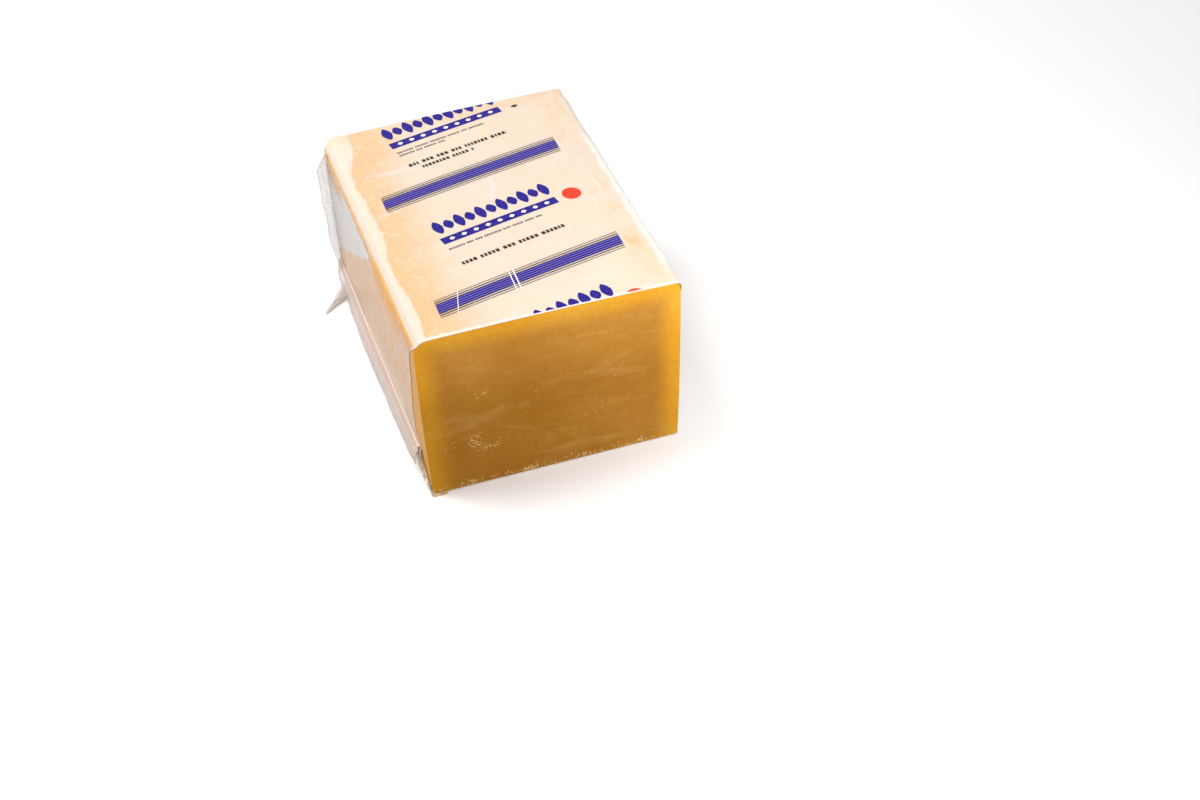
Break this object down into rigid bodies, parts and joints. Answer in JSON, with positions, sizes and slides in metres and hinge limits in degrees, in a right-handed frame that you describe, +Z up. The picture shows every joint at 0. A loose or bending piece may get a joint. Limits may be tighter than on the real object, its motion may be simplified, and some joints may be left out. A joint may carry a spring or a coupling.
{
  "type": "gruyere cheese block",
  "caption": "Rectangular block of hard cheese with one long edge rounded, still in its clear vacuum pouch, which is open at the knife-cut front face.",
  "frame": {"origin": "centre of the underside of the whole, pouch included, on the surface that the block stands on", "axes": "+Z up; -Y out of the knife-cut face; +Y along the block's length to the sealed back end; +X to the right when looking at the cut face"},
  "size_m": [0.1736, 0.2011, 0.1014],
  "materials": {
    "cheese": "smooth waxy cut cheese, slightly moist",
    "film": "clear glossy vacuum film"
  },
  "bodies": {
    "root": {"cheese": "cheese", "film": "film"}
  },
  "joints": []
}
